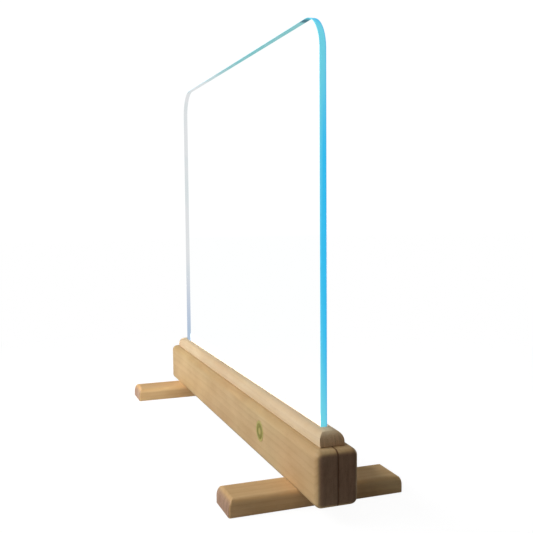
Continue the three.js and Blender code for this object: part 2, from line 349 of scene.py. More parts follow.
def add_piece(name, mesh, node, body, slot, *materials, smooth=True):
    """Puts a finished mesh, made in place, on the stage as the piece that stands for a node."""
    middle = box_middle(node)
    mesh.transform(Matrix.Translation(-middle))
    mesh.name = name
    if smooth:
        mesh.shade_smooth()
        mesh.set_sharp_from_angle(angle=math.radians(32))
    else:
        mesh.shade_flat()
    mesh.materials.clear()
    for material in materials:
        mesh.materials.append(material)
    piece = bpy.data.objects.new(name, mesh)
    piece.location = middle
    bpy.context.scene.collection.objects.link(piece)
    if smooth:
        piece.modifiers.new("Even shading", "WEIGHTED_NORMAL").keep_sharp = True
    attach(piece, body)
    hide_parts(node)
    return piece


# ------------------------------ shader graphs


class Graph:
    """Adds and joins the nodes of one node tree."""

    def __init__(self, tree):
        self.tree = tree

    def add(self, kind, inputs=None, **settings):
        node = self.tree.nodes.new(kind)
        for name, value in settings.items():
            setattr(node, name, value)
        for key, value in (inputs or {}).items():
            self.feed(node.inputs[key], value)
        return node

    def feed(self, socket, value):
        if isinstance(value, bpy.types.NodeSocket):
            self.tree.links.new(value, socket)
        elif socket.type == "RGBA" and len(value) == 3:
            socket.default_value = (*value, 1)
        else:
            socket.default_value = value

    def math(self, operation, *values, clamp=False):
        node = self.add("ShaderNodeMath", dict(enumerate(values)), operation=operation, use_clamp=clamp)
        return node.outputs[0]

    def vector(self, operation, *values):
        node = self.add("ShaderNodeVectorMath", dict(enumerate(values)), operation=operation)
        return node.outputs["Value" if operation in ("LENGTH", "DOT_PRODUCT") else "Vector"]

    def blend(self, factor, first, second, how="MIX"):
        """Mixes two colours."""
        node = self.add("ShaderNodeMix", data_type="RGBA", blend_type=how, clamp_factor=True)
        for key, value in ((0, factor), (6, first), (7, second)):
            self.feed(node.inputs[key], value)
        return node.outputs[2]

    def fit(self, value, start, end, low=0.0, high=1.0):
        """A value between start and end as a smooth step from low to high."""
        inputs = {"Value": value, "From Min": start, "From Max": end, "To Min": low, "To Max": high}
        return self.add("ShaderNodeMapRange", inputs, interpolation_type="SMOOTHSTEP").outputs[0]

    def noise(self, position, stretch, detail=2.0, rough=0.5):
        """Soft noise with so many waves to a metre along each axis."""
        stretched = self.vector("MULTIPLY", position, stretch)
        inputs = {"Vector": stretched, "Scale": 1.0, "Detail": detail, "Roughness": rough}
        return self.add("ShaderNodeTexNoise", inputs).outputs[0]

    def parts(self, vector):
        return self.add("ShaderNodeSeparateXYZ", {0: vector}).outputs


def make_group(name, inputs, outputs, fill):
    """A shader node group with named sockets, built once and then shared."""
    tree = bpy.data.node_groups.get(name)
    if tree is None:
        tree = bpy.data.node_groups.new(name, "ShaderNodeTree")
        for socket, kind in inputs.items():
            tree.interface.new_socket(socket, in_out="INPUT", socket_type="NodeSocket" + kind)
        for socket, kind in outputs.items():
            tree.interface.new_socket(socket, in_out="OUTPUT", socket_type="NodeSocket" + kind)
        graph = Graph(tree)
        results = fill(graph, tree.nodes.new("NodeGroupInput").outputs)
        graph.add("NodeGroupOutput", results)
    return tree


def fill_solid_wood(graph, given):
    """Growth rings about a pith line that runs along X, with streaks, pores and a soft mottle."""
    seeded = graph.vector("ADD", given["Position"], given["Seed"])
    sway = graph.math("SUBTRACT", graph.noise(seeded, (2.2, 11, 11)), 0.5)
    from_pith = graph.vector("SUBTRACT", given["Position"], given["Pith"])
    level = graph.vector("LENGTH", graph.vector("MULTIPLY", from_pith, (0, 1, 1)))
    reach = graph.math("MULTIPLY_ADD", sway, 0.016, level)
    year = graph.math("FRACT", graph.math("DIVIDE", reach, given["Ring Width"]))
    late = graph.math("MULTIPLY", graph.math("POWER", year, 3.0), graph.fit(year, 1.0, 0.93))
    streak = graph.noise(seeded, (5, 230, 230), 3.0, 0.6)
    mottle = graph.noise(seeded, (22, 46, 46), 4.0)
    pore = graph.fit(graph.noise(seeded, (150, 1700, 1700), 1.0), 0.60, 0.72)
    across = graph.fit(graph.math("ABSOLUTE", graph.parts(given["Normal"])[0]), 0.62, 0.98)
    dot = graph.fit(graph.noise(seeded, (60, 2200, 2200), 1.0), 0.55, 0.68)
    ringed = graph.math("MULTIPLY", late, graph.math("MULTIPLY_ADD", across, -0.8, 1.0))
    tone = graph.math("MULTIPLY_ADD", ringed, 0.24, graph.math("MULTIPLY_ADD", streak, 0.4, 0.14))
    tone = graph.math("MULTIPLY_ADD", graph.math("SUBTRACT", mottle, 0.5), 1.1, tone, clamp=True)
    colour = graph.blend(tone, given["Pale"], given["Deep"])
    warm = graph.fit(graph.noise(seeded, (9, 22, 22), 1.0), 0.38, 0.66)
    colour = graph.blend(graph.math("MULTIPLY", warm, 0.35), colour, given["Blush"], "MULTIPLY")
    speck = graph.math("MAXIMUM", graph.math("MULTIPLY", pore, 0.22), graph.math("MULTIPLY", dot, across))
    colour = graph.blend(graph.math("MULTIPLY", speck, 0.5), colour, (0.42, 0.30, 0.22), "MULTIPLY")
    fibre = graph.fit(graph.noise(seeded, (20, 420, 46), 3.0, 0.6), 0.35, 0.75)
    cut = graph.blend(graph.math("MULTIPLY", fibre, 0.4), given["End Grain"], (0.20, 0.16, 0.14))
    colour = graph.blend(across, colour, graph.blend(1.0, colour, cut, "MULTIPLY"))
    ridges = graph.math("MULTIPLY_ADD", late, 0.5, graph.math("MULTIPLY", streak, 0.5))
    height = graph.math("SUBTRACT", ridges, graph.math("MULTIPLY", speck, 0.8))
    polish = graph.math("MULTIPLY_ADD", graph.math("SUBTRACT", mottle, 0.5), 0.2, given["Roughness"])
    rough = graph.math("MULTIPLY_ADD", graph.math("MAXIMUM", across, speck), 0.12, polish, clamp=True)
    return {"Color": colour, "Roughness": rough, "Height": height}


def solid_wood():
    inputs = {name: "Vector" for name in ("Position", "Normal", "Seed", "Pith")}
    inputs |= {name: "Color" for name in ("Pale", "Deep", "Blush", "End Grain")}
    inputs |= {"Ring Width": "Float", "Roughness": "Float"}
    outputs = {"Color": "Color", "Roughness": "Float", "Height": "Float"}
    return make_group("Solid wood", inputs, outputs, fill_solid_wood)


def fill_edge_wear(graph, given):
    """A mask that is strongest where the surface turns a corner, broken up by noise."""
    x, y, z = (graph.math("ABSOLUTE", part) for part in graph.parts(given["Normal"]))
    flatness = graph.math("MAXIMUM", graph.math("MAXIMUM", x, y), z)
    patchy = graph.noise(given["Position"], (70, 70, 70), 3.0, 0.6)
    worn = graph.math("MULTIPLY", graph.fit(flatness, 0.99, 0.78), graph.fit(patchy, 0.32, 0.68, 0.35, 1.0))
    return {"Mask": graph.math("MULTIPLY", worn, given["Amount"], clamp=True)}


def edge_wear():
    inputs = {"Position": "Vector", "Normal": "Vector", "Amount": "Float"}
    return make_group("Edge wear", inputs, {"Mask": "Float"}, fill_edge_wear)


def fill_fine_scuffs(graph, given):
    """Hairline rubs in two directions over a slow change of polish."""
    along = graph.noise(given["Position"], (25, 900, 900), 2.0)
    over = graph.noise(given["Position"], (900, 700, 30), 2.0)
    hair = graph.math("MAXIMUM", graph.fit(along, 0.60, 0.70), graph.fit(over, 0.62, 0.72))
    slow = graph.math("SUBTRACT", graph.noise(given["Position"], (18, 18, 18), 2.0), 0.5)
    amount = given["Amount"]
    rough = graph.math("MULTIPLY_ADD", hair, amount, given["Roughness"])
    rough = graph.math("MULTIPLY_ADD", graph.math("MULTIPLY", slow, amount), 1.5, rough, clamp=True)
    return {"Roughness": rough, "Height": hair}


def fine_scuffs():
    inputs = {"Position": "Vector", "Roughness": "Float", "Amount": "Float"}
    return make_group("Fine scuffs", inputs, {"Roughness": "Float", "Height": "Float"}, fill_fine_scuffs)


# ------------------------------ materials


def start_material(name):
    """An empty material, its graph and its principled shader, already joined to the output."""
    material = bpy.data.materials.new(name)
    material.use_nodes = True
    material.node_tree.nodes.clear()
    graph = Graph(material.node_tree)
    shader = graph.add("ShaderNodeBsdfPrincipled")
    output = graph.add("ShaderNodeOutputMaterial", {"Surface": shader.outputs[0]})
    return material, graph, shader, output


def use_group(graph, tree, inputs):
    node = graph.add("ShaderNodeGroup", node_tree=tree)
    for name, value in inputs.items():
        graph.feed(node.inputs[name], value)
    return node.outputs


def add_scuffs(graph, shader, position, roughness, amount):
    """Feeds the shader a scuffed roughness, and returns the height of the scuffs."""
    inputs = {"Position": position, "Roughness": roughness, "Amount": amount}
    scuffs = use_group(graph, fine_scuffs(), inputs)
    graph.feed(shader.inputs["Roughness"], scuffs["Roughness"])
    return scuffs["Height"]


def corner_wear(graph, position, normal, amount):
    return use_group(graph, edge_wear(), {"Position": position, "Normal": normal, "Amount": amount})["Mask"]


def add_bump(graph, shader, height, distance, strength):
    bump = graph.add("ShaderNodeBump", {"Height": height, "Distance": distance, "Strength": strength})
    graph.feed(shader.inputs["Normal"], bump.outputs[0])


def wood_material(
    name, pale, deep, end, grain, seed, pith, ring_width=3.2 * MM, roughness=0.5, joint=None
):
    """Bare sanded wood. grain is the axis that the fibres run along, and joint the Y of a glued face."""
    material, graph, shader, _ = start_material(name)
    turn = {"X": (0, 0, 0), "Y": (0, 0, -math.pi / 2), "Z": (0, math.pi / 2, 0)}[grain]
    places = graph.add("ShaderNodeTexCoord").outputs
    position, normal = (
        graph.add("ShaderNodeMapping", {"Vector": places[source], "Rotation": turn}).outputs[0]
        for source in ("Object", "Normal")
    )
    inputs = {"Position": position, "Normal": normal, "Seed": seed, "Pith": pith}
    inputs |= {"Pale": pale, "Deep": deep, "Blush": (1.0, 0.86, 0.84), "End Grain": end}
    inputs |= {"Ring Width": ring_width, "Roughness": roughness}
    wood = use_group(graph, solid_wood(), inputs)
    wear = corner_wear(graph, position, normal, 0.5)
    handled = graph.blend(wear, wood["Color"], (1.0, 0.93, 0.80), "MULTIPLY")
    if joint is not None:
        # A darker band, up to a millimetre either side of the glued seam between the boards
        off_joint = graph.math("ABSOLUTE", graph.math("SUBTRACT", graph.parts(position)[1], joint))
        seam_band = graph.fit(off_joint, 1.0 * MM, 0.3 * MM)
        handled = graph.blend(seam_band, handled, (0.34, 0.25, 0.20), "MULTIPLY")
    graph.feed(shader.inputs["Base Color"], handled)
    graph.feed(shader.inputs["Roughness"], graph.math("MULTIPLY_ADD", wear, -0.12, wood["Roughness"]))
    graph.feed(shader.inputs["Specular IOR Level"], 0.3)
    add_bump(graph, shader, wood["Height"], 0.15 * MM, 0.35)
    return material


def clear_face_material(cap_top, half_length):
    """The panel's polished faces: clear acrylic that lets lamps straight through. At a glancing angle,
    the front one has a painted white reflection, an emission that only the camera sees, just above the top
    of the cap."""
    material, graph, shader, output = start_material("Clear acrylic")
    position = graph.add("ShaderNodeTexCoord").outputs["Object"]
    path = graph.add("ShaderNodeLightPath").outputs
    x, y, z = graph.parts(position)
    facing = graph.add("ShaderNodeLayerWeight", {"Blend": 0.5}).outputs["Facing"]
    # Painted reflection: white emission for camera rays only, on the front face, in a band up to about a
    # centimetre above the cap, at glancing angles
    painted_reflection = path["Is Camera Ray"]
    for share in (
        graph.fit(z, cap_top - 0.1 * MM, cap_top + 0.15 * MM),
        graph.fit(z, cap_top + 12 * MM, cap_top + 8 * MM),
        graph.math("LESS_THAN", y, 0.0),
        graph.fit(x, 16 * MM - half_length, 20 * MM - half_length),
        graph.fit(facing, 0.5, 0.6),
    ):
        painted_reflection = graph.math("MULTIPLY", painted_reflection, share)
    graph.feed(shader.inputs["Emission Color"], graph.blend(painted_reflection, (0.0, 0.0, 0.0), (1.0, 1.0, 1.0)))
    shader.inputs["Emission Strength"].default_value = 0.65
    add_scuffs(graph, shader, position, 0.0005, 0.0015)
    shader.inputs["Base Color"].default_value = (0.992, 1.0, 1.0, 1.0)
    shader.inputs["IOR"].default_value = 1.01
    shader.inputs["Transmission Weight"].default_value = 1.0
    open_to_lamps = graph.add("ShaderNodeBsdfTransparent").outputs[0]
    kinds = {0: path["Is Shadow Ray"], 1: shader.outputs[0], 2: open_to_lamps}
    graph.feed(output.inputs["Surface"], graph.add("ShaderNodeMixShader", kinds).outputs[0])
    return material


def panel_edge_material(half_height, half_length, half_thickness):
    """The panel's polished edges, with a painted glow: their colours go out as emission for the light that
    the sheet gathers, seen from outside and, paler, from within.
    """
    finish = bpy.context.scene.guard_finish
    material, graph, shader, _ = start_material("Acrylic edge")
    position = graph.add("ShaderNodeTexCoord").outputs["Object"]
    x, y, z = graph.parts(position)
    up = graph.math("ABSOLUTE", graph.math("DIVIDE", z, half_height))
    ends = graph.math("MULTIPLY", graph.fit(up, 0.35, 0.85), graph.fit(z, half_height, 0.93 * half_height))
    # Painted glow seen from outside: cyan mid-edge, teal towards the top and the foot, bluer along the
    # arrises
    glow = graph.blend(ends, finish.painted_glow_cyan, finish.painted_glow_teal)
    aside = graph.math("DIVIDE", y, half_thickness)
    streaks = graph.fit(graph.noise(position, (500, 900, 9), 2.0), 0.35, 0.7)
    glow = graph.blend(graph.math("MULTIPLY", streaks, 0.22), glow, finish.painted_glow_teal)
    nearer = graph.math("MULTIPLY", graph.fit(aside, 0.3, -0.8), graph.fit(up, 0.0, 0.9, 0.15, 0.8))
    glow = graph.blend(nearer, glow, finish.painted_glow_teal)
    outside = graph.blend(graph.fit(aside, 0.55, 1.0, 0.0, 0.8), glow, finish.painted_glow_blue)
    along = graph.fit(graph.math("DIVIDE", x, half_length), 0.15, -0.8)
    patches = graph.fit(graph.noise(position, (42, 42, 30), 2.0), 0.3, 0.7, -0.1, 0.1)
    fade = graph.math("ADD", along, patches, clamp=True)
    # Painted glow seen from within: teal near, paler towards the far end, bluer low down
    low_down = graph.fit(z, -0.1 * half_height, -0.8 * half_height)
    far = graph.blend(low_down, finish.painted_inner_pale, finish.painted_inner_blue)
    inside = graph.blend(fade, finish.painted_inner_teal, far)
    bend_x = half_length - 38 * MM
    from_bend = graph.vector("SUBTRACT", position, (bend_x, 0, half_height))
    glint = graph.fit(graph.vector("LENGTH", from_bend), 9 * MM, 2 * MM, 0.0, 0.8)
    inside = graph.blend(graph.fit(x, bend_x, bend_x + 8 * MM), inside, finish.painted_glow_teal)
    # Painted dark glint round the point where the top edge bends
    inside = graph.blend(glint, inside, finish.painted_bend_glint)
    behind = graph.add("ShaderNodeNewGeometry").outputs["Backfacing"]
    scuffs = use_group(graph, fine_scuffs(), {"Position": position, "Roughness": 0.14, "Amount": 0.12})
    # The edges glow by emission, though they are no lamp: outside colours from in front, inside colours
    # from behind
    graph.feed(shader.inputs["Base Color"], graph.blend(behind, outside, (0.0, 0.0, 0.0)))
    graph.feed(shader.inputs["Emission Color"], graph.blend(behind, outside, inside))
    shader.inputs["Emission Strength"].default_value = 0.82
    graph.feed(shader.inputs["Roughness"], graph.math("MAXIMUM", scuffs["Roughness"], behind))
    shader.inputs["Specular IOR Level"].default_value = 0.2
    add_bump(graph, shader, scuffs["Height"], 0.05 * MM, 0.25)
    return material


def screw_material():
    finish = bpy.context.scene.guard_finish
    material, graph, shader, _ = start_material("Zinc-plated steel")
    places = graph.add("ShaderNodeTexCoord").outputs
    position = places["Object"]
    wear = corner_wear(graph, position, places["Normal"], 0.6)
    cloud = graph.fit(graph.noise(position, (420, 420, 420), 3.0), 0.35, 0.7)
    plating = graph.blend(graph.math("MULTIPLY", cloud, 0.5), finish.steel, shade(168, 172, 176))
    graph.feed(shader.inputs["Base Color"], graph.blend(wear, plating, shade(214, 212, 204)))
    shader.inputs["Metallic"].default_value = 1.0
    add_bump(graph, shader, add_scuffs(graph, shader, position, 0.3, 0.15), 0.03 * MM, 0.3)
    return material


def rubber_material():
    finish = bpy.context.scene.guard_finish
    material, graph, shader, _ = start_material("Pad rubber")
    position = graph.add("ShaderNodeTexCoord").outputs["Object"]
    grain = graph.noise(position, (2600, 2600, 2600), 2.0)
    bloom = graph.fit(graph.noise(position, (260, 260, 260), 3.0), 0.42, 0.72)
    colour = graph.blend(graph.math("MULTIPLY", bloom, 0.3), finish.rubber, shade(92, 88, 84))
    graph.feed(shader.inputs["Base Color"], colour)
    graph.feed(shader.inputs["Roughness"], graph.math("MULTIPLY_ADD", grain, 0.2, 0.72, clamp=True))
    add_bump(graph, shader, grain, 0.06 * MM, 0.5)
    return material


def print_material(radius):
    """A printed disc: an olive ring on a paler ground, with a slightly uneven film of ink."""
    finish = bpy.context.scene.guard_finish
    material, graph, shader, _ = start_material("Olive print")
    position = graph.add("ShaderNodeTexCoord").outputs["Object"]
    level = graph.vector("LENGTH", graph.vector("MULTIPLY", position, (1, 0, 1)))
    out = graph.math("DIVIDE", level, radius)
    ink = graph.fit(graph.noise(position, (300, 300, 300), 3.0), 0.3, 0.7, 0.0, 0.35)
    ring = graph.math("MULTIPLY", graph.fit(out, 0.24, 0.40), graph.fit(out, 0.84, 0.70))
    shown = graph.math("MULTIPLY", ring, graph.math("SUBTRACT", 1.0, ink))
    graph.feed(shader.inputs["Base Color"], graph.blend(shown, finish.print_rim, finish.print_olive))
    add_scuffs(graph, shader, position, 0.42, 0.15)
    add_bump(graph, shader, ink, 0.04 * MM, 0.3)
    return material


# ------------------------------ pieces


def slot_box():
    """The slot that the panel stands in, as (low, high) in plan."""
    shape = bpy.context.scene.guard_shape
    low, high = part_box("clear_panel")
    return (
        (low.x - shape.slot_end_gap, low.y - shape.clearance),
        (high.x + shape.slot_end_gap, high.y + shape.clearance),
    )


def pin_hole(node, axis, open_low=0.0, open_high=0.0):
    """The hole for a round pin, a clearance larger, which may run on past either end."""
    shape = bpy.context.scene.guard_shape
    low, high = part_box(node)
    middle = (low + high) / 2
    along = "XYZ".index(axis)
    across = (along + 1) % 3
    radius = (high[across] - low[across]) / 2 + shape.clearance
    start = middle.copy()
    start[along] = low[along] - shape.clearance - open_low
    length = high[along] - low[along] + 2 * shape.clearance + open_low + open_high
    return pin_solid(radius, length, start, axis)


class GUARD_OT_boards(bpy.types.Operator):
    """Build the two boards of the beam, with their groove and holes"""

    bl_idname = "guard.boards"
    bl_label = "Boards"

    def execute(self, context):
        shape, finish = context.scene.guard_shape, context.scene.guard_finish
        overrun = 1 * MM
        for node, side in BOARDS.items():
            low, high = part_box(node)
            (high if side == FRONT else low).y = shape.glue_line / 2 * side
            outer, seam = shape.beam_round, shape.seam_ease
            across = (outer, seam) if side == FRONT else (seam, outer)
            corners = (outer, outer, seam, seam) if side == FRONT else (seam, seam, outer, outer)
            rounds = (outer, outer, *across)
            solid = eased_block(low, high, rounds, rounds, corners, shape.round_steps)
            slot_low, slot_high = slot_box()
            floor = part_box("clear_panel")[0].z - shape.clearance
            cutters = [box_solid((*slot_low, floor), (*slot_high, high.z + overrun))]
            cutters += [pin_hole(name, "Y") for name in BOARD_DOWELS]
            cutters += [pin_hole(name, "Z", open_high=overrun) for name in on_side(CAP_DOWELS, side)]
            for name in on_side(SCREWS, side):
                radius = shape.screw_shank / 2 + shape.clearance
                tip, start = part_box(name)[1].z + shape.clearance, box_middle(name)
                start.z = low.z - overrun
                cutters.append(pin_solid(radius, tip - start.z, start))
            if side == FRONT:
                cutters.append(pin_hole("face_disc", "Y", open_low=overrun))
            mesh = cut_away(solid, cutters)
            name = node.replace("_", " ").capitalize()
            pith = (0, -0.055 * side, -0.030)
            seed = (0.31 if side == FRONT else 1.7, 0.2, 0.4)
            colours = (finish.beam_pale, finish.beam_deep, finish.beam_end)
            joint = (low.y - high.y) / 2 * side
            wood = wood_material(name + " wood", *colours, "X", seed, pith, joint=joint)
            add_piece(node + "_timber", mesh, node, "base", "beam_wood", wood)
        return {"FINISHED"}


class GUARD_OT_cap(bpy.types.Operator):
    """Build the cap moulding, with the slot that the panel passes through"""

    bl_idname = "guard.cap"
    bl_label = "Cap moulding"

    def execute(self, context):
        shape, finish = context.scene.guard_shape, context.scene.guard_finish
        overrun = 1 * MM
        low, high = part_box("cap_moulding")
        long, ease = (shape.cap_round,) * 2, (shape.cap_ease,) * 4
        top, rises = (shape.cap_end_round,) * 2 + long, (shape.cap_end_rise,) * 2 + long
        solid = eased_block(low, high, top, ease, (0,) * 4, shape.round_steps, rises)
        slot_low, slot_high = slot_box()
        flare = shape.slot_flare
        levels = [(low.z - overrun, 0), (high.z - flare, 0), (high.z + overrun, flare + overrun)]
        rings = []
        for z, wider in levels:
            rings.append([(x, y, z) for x, y in square_outline(slot_low, slot_high, wider)])
        cutters = [loft(rings)] + [pin_hole(name, "Z", open_low=overrun) for name in CAP_DOWELS]
        mesh = cut_away(solid, cutters)
        colours = (finish.cap_pale, finish.cap_deep, finish.cap_end)
        wood = wood_material("Cap wood", *colours, "X", (3.1, 0.7, 0.9), (0, 0.04, -0.06))
        add_piece("cap_timber", mesh, "cap_moulding", "base", "cap_wood", wood)
        return {"FINISHED"}


class GUARD_OT_feet(bpy.types.Operator):
    """Build the two cross feet, with the seats for the beam and the holes for screws and pads"""

    bl_idname = "guard.feet"
    bl_label = "Cross feet"

    def execute(self, context):
        shape, finish = context.scene.guard_shape, context.scene.guard_finish
        overrun = 1 * MM
        beam_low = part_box("front_board")[0]
        beam_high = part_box("rear_board")[1]
        for node in FEET:
            low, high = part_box(node)
            long, ease, corners = (shape.foot_round,) * 2, (shape.foot_ease,) * 4, (shape.foot_corner,) * 4
            top, rises = long + (shape.foot_end_round,) * 2, long + (shape.foot_end_rise,) * 2
            solid = eased_block(low, high, top, ease, corners, shape.round_steps, rises)
            gap = shape.clearance
            seat_low = (low.x - overrun, beam_low.y - gap, beam_low.z - gap)
            seat_high = (high.x + overrun, beam_high.y + gap, beam_high.z)
            hollow = shape.beam_round + gap
            under = (0, 0, hollow, hollow)
            cutters = [eased_block(seat_low, seat_high, (0,) * 4, under, (0,) * 4, shape.round_steps)]
            for name in [name for name in SCREWS if name.startswith(node)]:
                head_low, head_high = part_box(name)
                head = (head_high.x - head_low.x) / 2 + gap
                shank = shape.screw_shank / 2 + gap
                rim = head_low.z + gap + 0.4 * MM
                profile = [
                    (head, low.z - overrun),
                    (head, rim),
                    (shank, rim + head - shank),
                    (shank, seat_low[2] - gap / 3),
                ]
                hole = turned(profile + [(shank, seat_low[2] + overrun / 2)], 40)
                hole.transform(Matrix.Translation((box_middle(name).x, box_middle(name).y, 0)))
                cutters.append(hole)
            end = node.split("_")[0]
            cutters += [pin_hole(name, "Z", open_low=overrun) for name in PADS if name.startswith(end)]
            mesh = cut_away(solid, cutters)
            seed = (0.9, 2.3, 0.5) if end == "left" else (5.2, 0.6, 1.4)
            name = node.replace("_", " ").capitalize()
            colours = (finish.foot_pale, finish.foot_deep, finish.foot_end)
            wood = wood_material(name + " wood", *colours, "Y", seed, (0, 0.018, -0.045))
            add_piece(node + "_timber", mesh, node, "base", "foot_wood", wood)
        return {"FINISHED"}


class GUARD_OT_clear_panel(bpy.types.Operator):
    """Build the clear panel, with polished arrises and rounded top corners"""

    bl_idname = "guard.clear_panel"
    bl_label = "Clear panel"

    def execute(self, context):
        shape = context.scene.guard_shape
        low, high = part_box("clear_panel")
        middle, half = (low + high) / 2, (high - low) / 2
        flat_low, flat_high = (-half.x, -half.z, -half.y), (half.x, half.z, half.y)
        arris, corner = shape.panel_arris, shape.panel_corner
        ease, corners = (arris,) * 4, (arris, arris, corner, corner)
        mesh = eased_block(flat_low, flat_high, ease, ease, corners, 2 * shape.round_steps)
        mesh.transform(Matrix.Translation(middle) @ Matrix.Rotation(math.pi / 2, 4, "X"))
        edge = panel_edge_material(half.z, half.x, half.y)
        faces = clear_face_material(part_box("cap_moulding")[1].z - middle.z, half.x)
        add_piece("clear_sheet", mesh, "clear_panel", "panel", "clear_acrylic", faces, edge, smooth=False)
        for face in mesh.polygons:
            face.material_index = 0 if abs(face.normal.y) > 0.999 else 1
        return {"FINISHED"}


def fluted_dowel(node, axis):
    """A dowel with glue flutes along it and chamfered ends."""
    shape = bpy.context.scene.guard_shape
    low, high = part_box(node)
    along = "XYZ".index(axis)
    radius = (high[(along + 1) % 3] - low[(along + 1) % 3]) / 2
    length = high[along] - low[along]
    chamfer, flutes, per_flute = shape.dowel_chamfer, 12, 6
    rings = []
    for z, inset in ((0, chamfer), (chamfer, 0), (length - chamfer, 0), (length, chamfer)):
        ring = []
        for k in range(flutes * per_flute):
            angle = k / (flutes * per_flute) * 2 * math.pi
            flute = shape.flute_depth * max(0, math.cos(flutes * angle)) ** 3
            r = radius - inset - flute
            ring.append((r * math.cos(angle), r * math.sin(angle), z))
        rings.append(ring)
    mesh = loft(rings)
    mesh.transform(Matrix.Translation((0, 0, -length / 2)))
    if axis == "Y":
        mesh.transform(Matrix.Rotation(-math.pi / 2, 4, "X"))
    mesh.transform(Matrix.Translation((low + high) / 2))
    return mesh


class GUARD_OT_dowels(bpy.types.Operator):
    """Build the fluted dowels between the boards and under the cap"""

    bl_idname = "guard.dowels"
    bl_label = "Dowels"

    def execute(self, context):
        finish = context.scene.guard_finish
        for axis, nodes in (("Y", BOARD_DOWELS), ("Z", CAP_DOWELS)):
            colours = (finish.dowel_pale, finish.dowel_deep, finish.beam_end)
            seed, pith = (0.6, 0.1, 2.2), (0, 0.02, 0.01)
            name = f"Dowel wood along {axis}"
            wood = wood_material(name, *colours, axis, seed, pith, ring_width=1.4 * MM, roughness=0.62)
            for node in nodes:
                add_piece(node + "_pin", fluted_dowel(node, axis), node, "base", "dowel_wood", wood)
        return {"FINISHED"}


def wood_screw(node):
    """A countersunk wood screw that stands on its head, with a thread and a cross recess."""
    shape = bpy.context.scene.guard_shape
    low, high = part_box(node)
    head, shank, length = (high.x - low.x) / 2, shape.screw_shank / 2, high.z - low.z
    core, rim, tip, plain, pitch = 0.68 * shank, 0.4 * MM, 4 * MM, 0.28 * length, shape.screw_pitch
    sides, per_turn = 24, 8
    cone_top = rim + head - shank
    levels = [0, rim / 2, rim, cone_top, plain]
    threads = math.ceil((length - plain) / pitch * per_turn)
    levels += [plain + (length - plain) * (k + 1) / threads for k in range(threads)]
    rings = []
    for z in levels:
        ring = []
        for k in range(sides):
            angle = k / sides * 2 * math.pi
            if z <= rim:
                r = head - (0.15 * MM if z == 0 else 0)
            elif z <= plain:
                r = shank
            else:
                place = (z / pitch - k / sides) % 1
                ridge = max(0, 1 - abs(2 * place - 1) * 1.9)
                body = min(1, (length - z) / tip)
                run_in = min(1, (z - plain) / pitch)
                r = ((shank + (core - shank) * run_in) + (shank - core) * ridge * run_in) * body
            ring.append((r * math.cos(angle), r * math.sin(angle), z))
        rings.append(ring)
    solid = loft(rings)
    arm, web, depth, overrun = 2.3 * MM, 0.5 * MM, 1.4 * MM, 0.5 * MM
    cross = []
    for z, reach in ((-overrun, 1.1 * arm), (depth, 0.72 * arm)):
        ring = []
        for quarter in range(4):
            turn = Matrix.Rotation(quarter * math.pi / 2, 2)
            points = ((reach, -web), (reach, web), (web, web))
            ring += [(*(turn @ Vector(point)), z) for point in points]
        cross.append(ring)
    mesh = cut_away(solid, [loft(cross)])
    stand_at(node, mesh)
    return mesh


class GUARD_OT_screws(bpy.types.Operator):
    """Build the screws that hold the feet to the beam"""

    bl_idname = "guard.screws"
    bl_label = "Foot screws"

    def execute(self, context):
        steel = screw_material()
        for node in SCREWS:
            name = node.replace("foot_screw", "wood_screw")
            add_piece(name, wood_screw(node), node, "base", "screw_steel", steel)
        return {"FINISHED"}


class GUARD_OT_pads(bpy.types.Operator):
    """Build the rubber pads under the feet"""

    bl_idname = "guard.pads"
    bl_label = "Foot pads"

    def execute(self, context):
        rubber = rubber_material()
        soft, lip, dish = 0.35 * MM, 2.6 * MM, 0.3 * MM
        for node in PADS:
            low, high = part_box(node)
            radius, height = (high.x - low.x) / 2, high.z - low.z
            shoulder = soft_shoulder(radius, height, soft)
            profile = [(0.1 * MM, dish), (radius - lip, dish), (radius - lip + dish, 0)]
            profile += [(r, height - z) for r, z in reversed(shoulder)] + shoulder
            mesh = turned(profile, 64)
            stand_at(node, mesh)
            add_piece(node.replace("pad", "rubber_pad"), mesh, node, "base", "pad_rubber", rubber)
        return {"FINISHED"}


class GUARD_OT_disc(bpy.types.Operator):
    """Build the plain printed disc on the front board"""

    bl_idname = "guard.disc"
    bl_label = "Face disc"

    def execute(self, context):
        low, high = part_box("face_disc")
        radius, height = (high.x - low.x) / 2, high.y - low.y
        soft, ring, groove = 0.2 * MM, 0.78 * radius, 0.12 * MM
        profile = [(radius, 0)] + soft_shoulder(radius, height, soft)
        profile += [(ring + groove * 2, height), (ring + groove, height - groove)]
        profile += [(ring - groove, height - groove), (ring - groove * 2, height)]
        mesh = turned(profile, 96)
        mesh.transform(Matrix.Rotation(math.pi / 2, 4, "X"))
        mesh.transform(Matrix.Translation(((low.x + high.x) / 2, high.y, (low.z + high.z) / 2)))
        add_piece("olive_disc", mesh, "face_disc", "base", "olive_print", print_material(radius))
        return {"FINISHED"}


# ------------------------------ stage


def seen_sharply(graph):
    """1 where the eye sees something directly, in or through a polished face, and 0 in scattered light."""
    path = graph.add("ShaderNodeLightPath").outputs
    unscattered = graph.math("LESS_THAN", path["Diffuse Depth"], 0.5)
    polished = graph.math("MULTIPLY", path["Is Singular Ray"], unscattered)
    return graph.math("MAXIMUM", path["Is Camera Ray"], polished)


